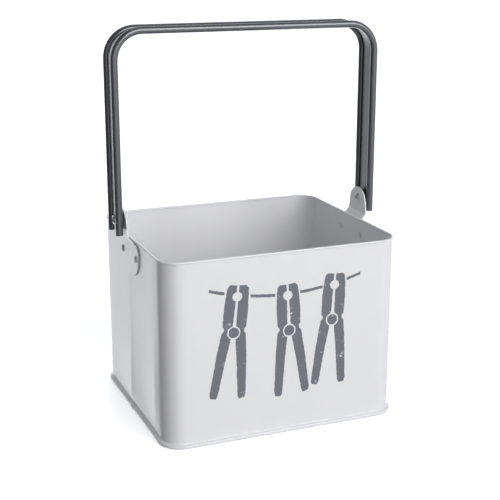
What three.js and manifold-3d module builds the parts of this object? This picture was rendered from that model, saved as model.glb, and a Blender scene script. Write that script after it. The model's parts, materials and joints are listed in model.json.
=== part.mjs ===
// Metal peg caddy: an open sheet-steel box with two riveted ears and a swinging strap handle.
// Millimetres, +Z up, +Y towards the back, origin on the floor under the middle of the box.

import * as THREE from 'three';
import { mergeVertices } from 'three/addons/utils/BufferGeometryUtils.js';
import Module from 'manifold-3d';

const wasm = await Module();
wasm.setup();

// Box
const boxWidth = 180;
const boxDepth = 156;
const rimHeight = 136.5;
const cornerRadius = 15.5;
const wallSheet = 0.5;

// Rolled rim bead, centred near the wall's outer face
const beadDiameter = 1.8;
const beadInset = 0.1;
const beadMouthAngle = Math.PI / 4;

// Lap seam up the left wall. Its crisp edge is just behind the wall's middle
const lapBehindMiddle = 6;
const lapWidth = 7;
const lapRamp = 1.6;

// Base pan and the double seam that joins it to the wall
const panSheet = 0.5;
const panRecess = 2.5;
const seamHeight = 3;
const seamProjection = 2;
const seamEdgeRadius = 0.4;
const wallHookProjection = 1.3;
const wallHookHeight = 1.3;
const panHookDepth = 1.2;
const seamFoldGap = 0.12;
const lapSeamGap = 0.3;

// Ears
const earSheet = 1;
const earSeatGap = 0.1;
const plateHalfWidth = 22.5;
const plateWidestBelowRim = 11;
const plateDepthBelowWidest = 17.9;
const plateUnderBeadGap = 0.4;
const neckHalfWidth = 14;
const neckRelief = 0.8;
const jogOut = 5;
const jogBelowBead = 1.7;
const jogAboveRim = 3;
const bendRadius = 1;
const tongueRadius = 12.7;

// Ear rivets
const earRivetSpacing = 33.2;
const earRivetBelowRim = 13;
const earRivetDiameter = 3;
const earRivetHeadDiameter = 5.6;
const earRivetHeadHeight = 1.1;
const earRivetTailDiameter = 4.4;
const earRivetTailHeight = 0.8;

// Pivots
const pivotAboveRim = 13.7;
const pivotBelowTongueTop = 8;
const pivotDiameter = 4;
const pivotHeadDiameter = 7;
const pivotHeadHeight = 1.3;
const pivotHeadBore = 3;
const pivotHeadBoreDepth = 2.2;
const pivotTailDiameter = 5.4;
const pivotTailHeight = 0.8;
const pivotTailBore = 2.4;
const pivotTailBoreDepth = 1.6;
const headEdge = 0.25;
const spacerDiameter = 11;
const spacerLength = 3.8;
const spacerEdge = 0.4;
const sideGap = 0.15;
const boreClearance = 0.1;

// Handle strap: a web with both long edges rolled into tubes
const webThickness = 0.9;
const rollSpacing = 19;
const rollDiameter = 5.3;
const rollBore = 3.5;
const legBelowPivot = 9.5;
const riseAbovePivot = 134.2;
const handleBend = 20.4;

// One overrun serves every cut and join
const overrun = 0.3;

// How many steps each arc is divided into
const cornerSteps = 8;
const handleBendSteps = 12;
const beadSteps = 14;
const seamEdgeSteps = 4;
const rollSteps = 12;
const earOutlineSteps = 16;
const earBendSteps = 6;
const roundSides = 24;

// Sizes that follow from those above
const wallFace = boxWidth / 2;
const beadRadius = beadDiameter / 2;
const beadBottom = rimHeight - beadDiameter;
const earInner = wallFace + earSeatGap;
const tongueOuter = earInner + jogOut + earSheet;
const spacerInner = tongueOuter + sideGap;
const webInner = spacerInner + spacerLength + sideGap;
const strapPlane = webInner + webThickness / 2;
const webOuter = webInner + webThickness;
const pivotHeight = rimHeight + pivotAboveRim;
const handleTop = pivotHeight + riseAbovePivot;
const jogStart = beadBottom - jogBelowBead;
const jogEnd = rimHeight + jogAboveRim;
const plateWidest = rimHeight - plateWidestBelowRim;
const plateBottom = plateWidest - plateDepthBelowWidest;
const plateShoulder = beadBottom - plateUnderBeadGap;
const tongueTop = pivotHeight + pivotBelowTongueTop;
const earRivetHeight = rimHeight - earRivetBelowRim;

const materials = {
  paint: () => new THREE.MeshStandardMaterial({ color: 0xdcdcdf, roughness: 0.45, metalness: 0 }),
  enamel: () => new THREE.MeshStandardMaterial({ color: 0x4b4b50, roughness: 0.35, metalness: 0.3 }),
  steel: () => new THREE.MeshStandardMaterial({ color: 0x8d8d92, roughness: 0.35, metalness: 0.9 }),
  plastic: () => new THREE.MeshStandardMaterial({ color: 0x8f8c8e, roughness: 0.55, metalness: 0 }),
};

// Joins and cuts

function toSolid(geometry) {
  const plain = geometry.clone();
  plain.deleteAttribute('normal');
  plain.deleteAttribute('uv');
  const merged = mergeVertices(plain);
  return new wasm.Manifold(new wasm.Mesh({
    numProp: 3,
    vertProperties: new Float32Array(merged.getAttribute('position').array),
    triVerts: new Uint32Array(merged.getIndex().array),
  }));
}

function toGeometry(solid) {
  const mesh = solid.getMesh();
  const geometry = new THREE.BufferGeometry();
  geometry.setAttribute('position', new THREE.BufferAttribute(new Float32Array(mesh.vertProperties), 3));
  geometry.setIndex(new THREE.BufferAttribute(new Uint32Array(mesh.triVerts), 1));
  geometry.computeVertexNormals();
  return geometry;
}

function cutAll(solid, cutters) {
  let result = solid;
  for (const cutter of cutters) {
    result = result.subtract(toSolid(cutter));
  }
  return result;
}

function makeMesh(name, geometry, material) {
  const mesh = new THREE.Mesh(geometry, material);
  mesh.name = name;
  return mesh;
}

// Sweeps a flat section through a list of frames. Each frame holds the point that the section's
// origin meets and the two directions that carry its x and y. Travel follows x cross y. A Shape
// divides an arc into twice the number it is given, so the number of steps is halved here.
function sweep(section, arcSteps, frames, closed) {
  const outline = section.extractPoints(arcSteps / 2);
  const rings = [outline.shape, ...outline.holes];
  const caps = THREE.ShapeUtils.triangulateShape(outline.shape, outline.holes);
  const count = rings.reduce((sum, ring) => sum + ring.length, 0);
  const positions = [];
  const indices = [];
  for (const frame of frames) {
    for (const point of rings.flat()) {
      const placed = frame.origin.clone();
      placed.addScaledVector(frame.x, point.x);
      placed.addScaledVector(frame.y, point.y);
      positions.push(placed.x, placed.y, placed.z);
    }
  }
  const steps = closed ? frames.length : frames.length - 1;
  for (let step = 0; step < steps; step += 1) {
    const here = step * count;
    const next = ((step + 1) % frames.length) * count;
    let start = 0;
    for (const ring of rings) {
      for (let i = 0; i < ring.length; i += 1) {
        const a = start + i;
        const b = start + ((i + 1) % ring.length);
        indices.push(here + a, here + b, next + b);
        indices.push(here + a, next + b, next + a);
      }
      start += ring.length;
    }
  }
  if (!closed) {
    const last = (frames.length - 1) * count;
    for (const [a, b, c] of caps) {
      indices.push(a, c, b);
      indices.push(last + a, last + b, last + c);
    }
  }
  const geometry = new THREE.BufferGeometry();
  geometry.setAttribute('position', new THREE.Float32BufferAttribute(positions, 3));
  geometry.setIndex(indices);
  geometry.computeVertexNormals();
  return geometry;
}

// Frames round the box, clockwise seen from above. A section's x then points outward from the
// wall's outer face and its y points up.
function boxFrames() {
  const frames = [];
  const centreX = boxWidth / 2 - cornerRadius;
  const centreY = boxDepth / 2 - cornerRadius;
  const corners = [[1, 1], [1, -1], [-1, -1], [-1, 1]];
  corners.forEach(([signX, signY], index) => {
    for (let step = 0; step <= cornerSteps; step += 1) {
      const angle = Math.PI / 2 * (1 - index - step / cornerSteps);
      const outward = new THREE.Vector3(Math.cos(angle), Math.sin(angle), 0);
      const origin = new THREE.Vector3(signX * centreX, signY * centreY, 0);
      origin.addScaledVector(outward, cornerRadius);
      frames.push({ origin, x: outward, y: new THREE.Vector3(0, 0, 1) });
    }
  });
  return frames;
}

// A cylinder along X between two places
function crossPin(diameter, fromX, toX, y, z) {
  const geometry = new THREE.CylinderGeometry(diameter / 2, diameter / 2, toX - fromX, roundSides);
  geometry.rotateZ(-Math.PI / 2);
  geometry.translate((fromX + toX) / 2, y, z);
  return geometry;
}

// A turned piece whose profile runs outward along X, given as [distance, radius] pairs
function turned(profile) {
  const points = profile.map(([distance, radius]) => new THREE.Vector2(radius, distance));
  const geometry = new THREE.LatheGeometry(points, roundSides);
  geometry.rotateZ(-Math.PI / 2);
  return geometry;
}

// Wall wrap

// The wall's section runs from the hook in the bottom seam up to the rolled bead.
function wallSection() {
  const foot = panSheet + seamFoldGap;
  const beadCentre = rimHeight - beadRadius;
  const curlInside = beadRadius - wallSheet;
  const innerStart = -Math.acos(beadInset / curlInside);
  const outerEnd = Math.PI + Math.acos((wallSheet - beadInset) / beadRadius);
  const section = new THREE.Shape();
  section.moveTo(-wallSheet, foot);
  section.lineTo(wallHookProjection, foot);
  section.lineTo(wallHookProjection, foot + wallHookHeight);
  section.lineTo(wallHookProjection - wallSheet, foot + wallHookHeight);
  section.lineTo(wallHookProjection - wallSheet, foot + wallSheet);
  section.lineTo(0, foot + wallSheet);
  section.absarc(-beadInset, beadCentre, curlInside, innerStart, -beadMouthAngle, true);
  section.absarc(-beadInset, beadCentre, beadRadius, -beadMouthAngle, outerEnd, false);
  section.closePath();
  return section;
}

// The lapped edge stands proud of the left wall by one sheet, ends in a crisp step at the back
// and ramps down at the front. It stops under the ear, whose plate lies flat on the wall.
function lapSeam() {
  const inside = -wallFace + wallSheet / 2;
  const rear = lapBehindMiddle;
  const front = rear - lapWidth;
  const outline = new THREE.Shape();
  outline.moveTo(inside, front);
  outline.lineTo(inside, rear);
  outline.lineTo(-wallFace - wallSheet, rear);
  outline.lineTo(-wallFace - wallSheet, front + lapRamp);
  outline.lineTo(-wallFace, front);
  outline.closePath();
  const bottom = seamHeight + lapSeamGap;
  const geometry = new THREE.ExtrudeGeometry(outline, {
    depth: plateBottom - lapSeamGap - bottom,
    bevelEnabled: false,
  });
  geometry.translate(0, 0, bottom);
  return geometry;
}

function earRivetPlaces() {
  return [-earRivetSpacing / 2, earRivetSpacing / 2];
}

function bodyWrap() {
  const ring = toSolid(sweep(wallSection(), beadSteps, boxFrames(), true));
  const bore = earRivetDiameter + 2 * boreClearance;
  const holes = [];
  for (const y of earRivetPlaces()) {
    holes.push(crossPin(bore, wallFace - wallSheet - overrun, wallFace + overrun, y, earRivetHeight));
    holes.push(crossPin(bore, -wallFace - overrun, -wallFace + wallSheet + overrun, y, earRivetHeight));
  }
  const wall = cutAll(ring.add(toSolid(lapSeam())), holes);
  return makeMesh('body_wrap', toGeometry(wall), materials.paint());
}

// Base pan

// The pan's seam section: an inner leg inside the wall, a foot, an outer leg round the wall's
// hook, and a hook of its own tucked down between the wall and the wall's hook.
function panSection() {
  const legInner = -wallSheet - seamFoldGap - panSheet;
  const legOuter = legInner + panSheet;
  const tuck = seamFoldGap + panSheet;
  const edgeCentre = seamProjection - seamEdgeRadius;
  const section = new THREE.Shape();
  section.moveTo(legInner, 0);
  section.lineTo(edgeCentre, 0);
  section.absarc(edgeCentre, seamEdgeRadius, seamEdgeRadius, -Math.PI / 2, 0, false);
  section.lineTo(seamProjection, seamHeight - seamEdgeRadius);
  section.absarc(edgeCentre, seamHeight - seamEdgeRadius, seamEdgeRadius, 0, Math.PI / 2, false);
  section.lineTo(seamFoldGap, seamHeight);
  section.lineTo(seamFoldGap, seamHeight - panHookDepth);
  section.lineTo(tuck, seamHeight - panHookDepth);
  section.lineTo(tuck, seamHeight - panSheet);
  section.lineTo(seamProjection - panSheet, seamHeight - panSheet);
  section.lineTo(seamProjection - panSheet, panSheet);
  section.lineTo(legOuter, panSheet);
  section.lineTo(legOuter, panRecess + panSheet);
  section.lineTo(legInner - overrun, panRecess + panSheet);
  section.lineTo(legInner - overrun, panRecess);
  section.lineTo(legInner, panRecess);
  section.closePath();
  return section;
}

function roundedRectangle(width, depth, radius) {
  const x = width / 2;
  const y = depth / 2;
  const shape = new THREE.Shape();
  shape.moveTo(radius - x, -y);
  shape.absarc(x - radius, radius - y, radius, -Math.PI / 2, 0, false);
  shape.absarc(x - radius, y - radius, radius, 0, Math.PI / 2, false);
  shape.absarc(radius - x, y - radius, radius, Math.PI / 2, Math.PI, false);
  shape.absarc(radius - x, radius - y, radius, Math.PI, 3 * Math.PI / 2, false);
  shape.closePath();
  return shape;
}

function basePan() {
  const ring = toSolid(sweep(panSection(), seamEdgeSteps, boxFrames(), true));
  const inset = wallSheet + seamFoldGap + panSheet;
  const outline = roundedRectangle(boxWidth - 2 * inset, boxDepth - 2 * inset, cornerRadius - inset);
  const panel = new THREE.ExtrudeGeometry(outline, {
    depth: panSheet,
    bevelEnabled: false,
    curveSegments: cornerSteps / 2,
  });
  panel.translate(0, 0, panRecess);
  return makeMesh('base_pan', toGeometry(ring.add(toSolid(panel))), materials.paint());
}

// Ears, worked out on the right side: x is the distance out from the middle of the box

// The plate is oval, with a notch at the top where the neck bends away from it.
function plateOutline() {
  const shoulderRun = plateHalfWidth - neckHalfWidth - neckRelief;
  const shoulderRise = plateShoulder - plateWidest;
  const neck = neckHalfWidth + neckRelief;
  const depth = plateDepthBelowWidest;
  const shape = new THREE.Shape();
  shape.absellipse(0, plateWidest, plateHalfWidth, depth, Math.PI, 2 * Math.PI, false, 0);
  shape.absellipse(neck, plateWidest, shoulderRun, shoulderRise, 0, Math.PI / 2, false, 0);
  shape.lineTo(neck, jogStart);
  shape.lineTo(-neck, jogStart);
  shape.lineTo(-neck, plateShoulder);
  shape.absellipse(-neck, plateWidest, shoulderRun, shoulderRise, Math.PI / 2, Math.PI, false, 0);
  return shape;
}

// The neck and tongue seen square on
function tongueOutline() {
  const archCentre = tongueTop - tongueRadius;
  const shape = new THREE.Shape();
  shape.moveTo(-neckHalfWidth, jogStart - neckHalfWidth / 2);
  shape.lineTo(neckHalfWidth, jogStart - neckHalfWidth / 2);
  shape.lineTo(neckHalfWidth, jogEnd);
  shape.absarc(0, archCentre, tongueRadius, 0, Math.PI, false);
  shape.lineTo(-neckHalfWidth, jogEnd);
  shape.closePath();
  return shape;
}

// The slope of the jog that makes two equal bends meet in one straight run
function jogAngle() {
  const bends = 2 * bendRadius + earSheet;
  const rise = jogEnd - jogStart;
  const run = jogOut - bends;
  return Math.atan2(run, rise) + Math.asin(bends / Math.hypot(rise, run));
}

// The bent strip seen from its edge: x runs outward from the ear's inner face
function jogProfile() {
  const angle = jogAngle();
  const outside = bendRadius + earSheet;
  const low = jogStart - neckHalfWidth / 2;
  const high = tongueTop + overrun;
  const secondCentre = jogOut - bendRadius;
  const shape = new THREE.Shape();
  shape.moveTo(0, low);
  shape.lineTo(earSheet, low);
  shape.absarc(outside, jogStart, bendRadius, Math.PI, Math.PI - angle, true);
  shape.absarc(secondCentre, jogEnd, outside, -angle, 0, false);
  shape.lineTo(jogOut + earSheet, high);
  shape.lineTo(jogOut, high);
  shape.absarc(secondCentre, jogEnd, bendRadius, 0, -angle, true);
  shape.absarc(outside, jogStart, outside, Math.PI - angle, Math.PI, false);
  shape.closePath();
  return shape;
}

// Extrudes a shape drawn in Y and Z along X
function alongX(shape, fromX, depth) {
  const geometry = new THREE.ExtrudeGeometry(shape, {
    depth,
    bevelEnabled: false,
    curveSegments: earOutlineSteps / 2,
  });
  geometry.rotateX(Math.PI / 2);
  geometry.rotateZ(Math.PI / 2);
  geometry.translate(fromX, 0, 0);
  return geometry;
}

// Extrudes a shape drawn in X and Z along Y, centred
function alongY(shape, width) {
  const geometry = new THREE.ExtrudeGeometry(shape, {
    depth: width,
    bevelEnabled: false,
    curveSegments: earBendSteps / 2,
  });
  geometry.rotateX(Math.PI / 2);
  geometry.translate(0, width / 2, 0);
  return geometry;
}

function ear(name) {
  const plate = toSolid(alongX(plateOutline(), earInner, earSheet));
  const strip = alongY(jogProfile(), 2 * neckHalfWidth);
  strip.translate(earInner, 0, 0);
  const tongue = toSolid(alongX(tongueOutline(), earInner - overrun, jogOut + earSheet + 2 * overrun));
  const neck = toSolid(strip).intersect(tongue);
  const rivetBore = earRivetDiameter + 2 * boreClearance;
  const pivotBore = pivotDiameter + 2 * boreClearance;
  const tongueInner = tongueOuter - earSheet;
  const holes = earRivetPlaces().map((y) =>
    crossPin(rivetBore, earInner - overrun, earInner + earSheet + overrun, y, earRivetHeight));
  holes.push(crossPin(pivotBore, tongueInner - overrun, tongueOuter + overrun, 0, pivotHeight));
  const solid = cutAll(plate.add(neck), holes);
  return makeMesh(name, toGeometry(solid), materials.paint());
}

// Ear rivets: a low dome outside, a flat tail inside

function earRivet(name, y) {
  const seat = earInner + earSheet;
  const tail = wallFace - wallSheet;
  const shank = earRivetDiameter / 2;
  const head = earRivetHeadDiameter / 2;
  const tailRadius = earRivetTailDiameter / 2;
  const domeShares = [[0, 1], [0.3, 0.98], [0.62, 0.84], [0.86, 0.56], [0.97, 0.28], [1, 0]];
  const dome = domeShares.map(([rise, reach]) => [seat + rise * earRivetHeadHeight, reach * head]);
  const geometry = turned([
    [tail - earRivetTailHeight, 0],
    [tail - earRivetTailHeight, tailRadius - headEdge],
    [tail - earRivetTailHeight + headEdge, tailRadius],
    [tail, tailRadius],
    [tail, shank],
    [seat, shank],
    ...dome,
  ]);
  geometry.translate(0, y, earRivetHeight);
  return makeMesh(name, geometry, materials.steel());
}

// Pivot rivets: hollow at both ends, headed outside the strap and rolled over inside the tongue

function pivotRivet(name) {
  const tail = tongueOuter - earSheet;
  const tailEnd = tail - pivotTailHeight;
  const seat = webOuter + sideGap;
  const headEnd = seat + pivotHeadHeight;
  const shank = pivotDiameter / 2;
  const head = pivotHeadDiameter / 2;
  const tailRadius = pivotTailDiameter / 2;
  const tailBore = pivotTailBore / 2;
  const headBore = pivotHeadBore / 2;
  const geometry = turned([
    [tailEnd + pivotTailBoreDepth, 0],
    [tailEnd + pivotTailBoreDepth, tailBore],
    [tailEnd + headEdge, tailBore],
    [tailEnd, tailBore + headEdge],
    [tailEnd, tailRadius - headEdge],
    [tailEnd + headEdge, tailRadius],
    [tail, tailRadius],
    [tail, shank],
    [seat, shank],
    [seat, head],
    [headEnd - headEdge, head],
    [headEnd, head - headEdge],
    [headEnd, headBore + headEdge],
    [headEnd - headEdge, headBore],
    [headEnd - pivotHeadBoreDepth, headBore],
    [headEnd - pivotHeadBoreDepth, 0],
  ]);
  geometry.translate(0, 0, pivotHeight);
  return makeMesh(name, geometry, materials.steel());
}

function pivotSpacer(name) {
  const radius = spacerDiameter / 2;
  const bore = pivotDiameter / 2 + boreClearance;
  const end = spacerInner + spacerLength;
  const geometry = turned([
    [spacerInner, bore],
    [spacerInner, radius - spacerEdge],
    [spacerInner + spacerEdge, radius],
    [end - spacerEdge, radius],
    [end, radius - spacerEdge],
    [end, bore],
    [spacerInner, bore],
  ]);
  geometry.translate(0, 0, pivotHeight);
  return makeMesh(name, geometry, materials.plastic());
}

// Handle

// The strap's section: x lies across the web's thickness and y along its width
function strapSection() {
  const radius = rollDiameter / 2;
  const half = rollSpacing / 2;
  const halfWeb = webThickness / 2;
  const join = Math.asin(halfWeb / radius);
  const up = Math.PI / 2;
  const section = new THREE.Shape();
  section.absarc(0, half, radius, join - up, 3 * up - join, false);
  section.absarc(0, -half, radius, up + join, 5 * up - join, false);
  section.closePath();
  for (const centre of [half, -half]) {
    const bore = new THREE.Path();
    bore.absarc(0, centre, rollBore / 2, 0, 2 * Math.PI, true);
    section.holes.push(bore);
  }
  return section;
}

// Frames up the left leg, over the top and down the right leg. A section's x points outward from
// the U, and its y points to the front.
function strapFrames() {
  const front = new THREE.Vector3(0, -1, 0);
  const frames = [];
  const add = (x, z, angle) => frames.push({
    origin: new THREE.Vector3(x, 0, z),
    x: new THREE.Vector3(Math.cos(angle), 0, Math.sin(angle)),
    y: front,
  });
  const foot = pivotHeight - legBelowPivot;
  const centreX = strapPlane - handleBend;
  const centreZ = handleTop - handleBend;
  add(-strapPlane, foot, Math.PI);
  for (let step = 0; step <= handleBendSteps; step += 1) {
    const angle = Math.PI - Math.PI / 2 * (step / handleBendSteps);
    add(-centreX + handleBend * Math.cos(angle), centreZ + handleBend * Math.sin(angle), angle);
  }
  for (let step = 0; step <= handleBendSteps; step += 1) {
    const angle = Math.PI / 2 * (1 - step / handleBendSteps);
    add(centreX + handleBend * Math.cos(angle), centreZ + handleBend * Math.sin(angle), angle);
  }
  add(strapPlane, foot, 0);
  return frames;
}

function handleStrap() {
  const strap = toSolid(sweep(strapSection(), rollSteps, strapFrames(), false));
  const bore = pivotDiameter + 2 * boreClearance;
  const holes = [
    crossPin(bore, webInner - overrun, webOuter + overrun, 0, pivotHeight),
    crossPin(bore, -webOuter - overrun, -webInner + overrun, 0, pivotHeight),
  ];
  return makeMesh('handle_strap', toGeometry(cutAll(strap, holes)), materials.enamel());
}

// Assembly. The left side's fittings are the right side's, turned half round, so both X and Y
// change sign.

function sideFittings(side) {
  const turn = side === 'right' ? 1 : -1;
  const rivetOffset = turn * earRivetSpacing / 2;
  const fittings = [
    ear(`ear_${side}`),
    earRivet(`ear_rivet_${side}_rear`, rivetOffset),
    earRivet(`ear_rivet_${side}_front`, -rivetOffset),
    pivotSpacer(`pivot_spacer_${side}`),
    pivotRivet(`pivot_rivet_${side}`),
  ];
  for (const fitting of fittings) {
    fitting.geometry.scale(turn, turn, 1);
  }
  return fittings;
}

const caddy = new THREE.Group();
caddy.name = 'metal_peg_caddy';
caddy.add(bodyWrap());
caddy.add(basePan());
caddy.add(...sideFittings('right'));
caddy.add(...sideFittings('left'));
caddy.add(handleStrap());

export default caddy;
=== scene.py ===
# %% [markdown]
# # A metal peg caddy, dressed and lit
#
# The real object is a small open box of painted sheet steel. A dark strap handle swings on two
# ears that are riveted to its end walls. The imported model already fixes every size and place, so
# this lesson starts by loading it. Each visible part is then modelled again with finer curves, in
# the same place, and given a finish that is worked out from noise and geometry.

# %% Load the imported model
import json
import math

import bpy
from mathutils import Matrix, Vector
from mathutils import noise as mathutils_noise

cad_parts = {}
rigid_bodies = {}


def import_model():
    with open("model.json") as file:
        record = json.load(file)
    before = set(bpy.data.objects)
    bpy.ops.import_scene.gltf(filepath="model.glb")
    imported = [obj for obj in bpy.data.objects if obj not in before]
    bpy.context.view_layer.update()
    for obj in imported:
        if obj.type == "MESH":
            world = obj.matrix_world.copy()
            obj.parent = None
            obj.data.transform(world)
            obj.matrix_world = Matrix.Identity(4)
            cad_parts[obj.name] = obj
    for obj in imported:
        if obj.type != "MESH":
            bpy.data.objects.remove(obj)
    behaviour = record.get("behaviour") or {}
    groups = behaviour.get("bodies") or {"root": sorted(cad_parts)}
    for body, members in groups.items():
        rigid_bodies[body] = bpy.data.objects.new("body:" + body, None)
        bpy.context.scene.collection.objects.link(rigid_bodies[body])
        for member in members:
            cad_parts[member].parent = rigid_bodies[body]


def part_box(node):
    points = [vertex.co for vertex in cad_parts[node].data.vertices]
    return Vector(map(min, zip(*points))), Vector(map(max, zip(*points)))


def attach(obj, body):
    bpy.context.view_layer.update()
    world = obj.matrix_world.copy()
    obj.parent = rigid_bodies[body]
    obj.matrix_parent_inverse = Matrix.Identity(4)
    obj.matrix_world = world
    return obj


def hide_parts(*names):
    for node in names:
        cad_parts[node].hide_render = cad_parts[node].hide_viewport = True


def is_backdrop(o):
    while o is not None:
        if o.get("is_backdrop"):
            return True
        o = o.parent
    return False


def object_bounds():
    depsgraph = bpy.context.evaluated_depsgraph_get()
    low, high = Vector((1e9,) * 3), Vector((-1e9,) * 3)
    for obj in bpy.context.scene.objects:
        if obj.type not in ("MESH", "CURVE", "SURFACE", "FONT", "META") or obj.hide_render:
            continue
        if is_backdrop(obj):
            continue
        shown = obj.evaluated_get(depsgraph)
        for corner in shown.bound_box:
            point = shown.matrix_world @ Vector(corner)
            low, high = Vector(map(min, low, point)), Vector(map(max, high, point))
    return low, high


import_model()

cad_box = [list(corner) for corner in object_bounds()]
print("box of the packed model in metres:", cad_box)

# %% [markdown]
# ## Camera
#
# The camera stands in front of the caddy, a little to the left and above the rim, and looks down
# by about sixteen degrees. A long lens keeps the upright edges nearly parallel, as they are in a
# catalogue picture. The lens is worked out from the width of the picture in pixels: Blender's
# sensor is 36 mm wide.

# %% Camera
MM = 0.001
PICTURE_WIDTH = 500
FOCAL_PIXELS = 1097.8
CAMERA_PLACE = Vector((-300.74, -746.86, 344.92)) * MM
CAMERA_RIGHTWARD = 22.18
CAMERA_DOWNWARD = 15.83
CAMERA_ROLL = -0.08

camera_data = bpy.data.cameras.new("camera")
camera_data.sensor_width = 36
camera_data.lens = FOCAL_PIXELS / PICTURE_WIDTH * camera_data.sensor_width
camera_data.clip_start = 0.01
camera = bpy.data.objects.new("camera", camera_data)
camera.location = CAMERA_PLACE
camera.rotation_euler = (
    math.radians(90 - CAMERA_DOWNWARD),
    math.radians(CAMERA_ROLL),
    math.radians(-CAMERA_RIGHTWARD),
)
bpy.context.scene.collection.objects.link(camera)
bpy.context.scene.camera = camera
print("lens in millimetres:", round(camera_data.lens, 1))

# %% [markdown]
# ## Modelling by section
#
# Sheet metal is drawn as a line and thickened afterwards. Every long piece of this caddy has the
# same section all along: the wall with its rolled rim, the seam at the foot, the strap. So each
# one starts as a few points, which are extruded along a route. A straight stretch is an extrude
# in steps and a corner is a spin. These helpers wrap the operators for that.

# %% Helpers for drawing and sweeping
SAME_PLACE = 1e-6


def deselect_everything():
    if bpy.context.object and bpy.context.object.mode != "OBJECT":
        bpy.ops.object.mode_set(mode="OBJECT")
    bpy.ops.object.select_all(action="DESELECT")


def select_mesh(everything=True):
    """Goes into Edit Mode and selects all of the mesh, or none of it."""
    bpy.ops.object.mode_set(mode="EDIT")
    bpy.ops.mesh.select_all(action="SELECT" if everything else "DESELECT")


def face_outward():
    """Turns all faces outward and leaves Edit Mode."""
    select_mesh()
    bpy.ops.mesh.normals_make_consistent(inside=False)
    bpy.ops.object.mode_set(mode="OBJECT")


def start_point(name, place):
    """A new object with one vertex: a plane whose corners are merged."""
    deselect_everything()
    bpy.ops.mesh.primitive_plane_add(size=MM, location=place)
    piece = bpy.context.object
    piece.name = name
    piece.data.name = name
    bpy.ops.object.transform_apply(location=True, rotation=True, scale=True)
    bpy.ops.object.mode_set(mode="EDIT")
    bpy.ops.mesh.select_mode(type="VERT")
    bpy.ops.mesh.merge(type="CENTER")
    return piece


def extrude(vector):
    bpy.ops.mesh.extrude_region_move(TRANSFORM_OT_translate={"value": tuple(vector)})


def draw_through(places):
    """Extrudes the selected vertex through a list of places."""
    here = Vector(places[0])
    for place in places[1:]:
        there = Vector(place)
        extrude(there - here)
        here = there


def draw_line(name, places):
    """A new object with one line through the places, all of it selected for a sweep."""
    piece = start_point(name, places[0])
    draw_through(places)
    select_mesh()
    return piece


def run(vector, steps=1):
    """Extrudes the selection in equal steps along a straight stretch."""
    for _ in range(steps):
        extrude(Vector(vector) / steps)


def turn(centre, axis, degrees, steps):
    """Spins the selection by the right-hand rule. Blender's own spin counts the other way."""
    bpy.ops.mesh.spin(steps=steps, angle=math.radians(-degrees), center=centre, axis=axis)


def arc(centre, radii, start, end, steps, plane):
    """Places along an arc or part of an oval, in degrees. The plane names two axes, such as XZ."""
    places = []
    for step in range(steps + 1):
        angle = math.radians(start + (end - start) * step / steps)
        place = Vector(centre)
        place["XYZ".index(plane[0])] += radii[0] * math.cos(angle)
        place["XYZ".index(plane[1])] += radii[1] * math.sin(angle)
        places.append(place)
    return places


def select_where(piece, test):
    """Selects the vertices whose place passes the test, and nothing else."""
    select_mesh(False)
    bpy.ops.object.mode_set(mode="OBJECT")
    count = 0
    for vertex in piece.data.vertices:
        if test(vertex.co):
            vertex.select = True
            count += 1
    bpy.ops.object.mode_set(mode="EDIT")
    return count


def weld():
    """Joins the active object's doubles and turns all its faces outward."""
    select_mesh()
    bpy.ops.mesh.remove_doubles(threshold=SAME_PLACE)
    face_outward()


def apply_modifier(piece, kind, name, **settings):
    modifier = piece.modifiers.new(name, kind)
    for key, value in settings.items():
        setattr(modifier, key, value)
    bpy.ops.object.modifier_apply(modifier=name)


def thicken(piece, sheet):
    """Grows a middle surface evenly into sheet of that thickness."""
    apply_modifier(piece, "SOLIDIFY", "sheet", thickness=sheet, offset=0,
                   use_even_offset=True, use_rim=True)


def finish_piece(piece, angle=35):
    """Smooths all but the sharp edges and says what was made."""
    bpy.ops.object.mode_set(mode="OBJECT")
    bpy.ops.object.shade_smooth_by_angle(angle=math.radians(angle))
    size = [round(value / MM, 1) for value in piece.dimensions]
    print(piece.name, len(piece.data.polygons), "faces, size in mm:", size)


print("the drawing helpers are ready")

# %% [markdown]
# ## The wall
#
# The wall is one strip of half-millimetre steel. Its top edge is rolled outward round itself,
# which makes the rim stiff and safe to touch. The section is drawn at the middle of the back
# wall: the curl first, then straight down to the foot and out under the seam. It is then swept
# once round the box. The rows and columns that are needed later, for the lap on the left wall,
# come from the lengths of the steps.

# %% Sizes of the box
HALF_WIDTH = 90 * MM
HALF_DEPTH = 78 * MM
RIM_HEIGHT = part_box("body_wrap")[1].z
SHEET = 0.5 * MM
CORNER = 15.5 * MM
BEAD_RADIUS = 0.9 * MM
BEAD_INSET = 0.1 * MM
SEAM_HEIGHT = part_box("base_pan")[1].z
WALL_FOOT = 0.87 * MM
HOOK_OUT = 1.05 * MM
HOOK_UP = 1.3 * MM
CURL_START = -48
CURL_STEPS = 26
CORNER_STEPS = 12
LAP_TOP = 106.7 * MM
LAP_ROWS = 22
ROW_GAP = 0.3 * MM
print("rim height in mm:", round(RIM_HEIGHT / MM, 1))

# %% The wall's section


def box_place(outward, height):
    """A place in the section at the middle of the back wall."""
    return Vector((0, HALF_DEPTH + outward, height))


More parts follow.
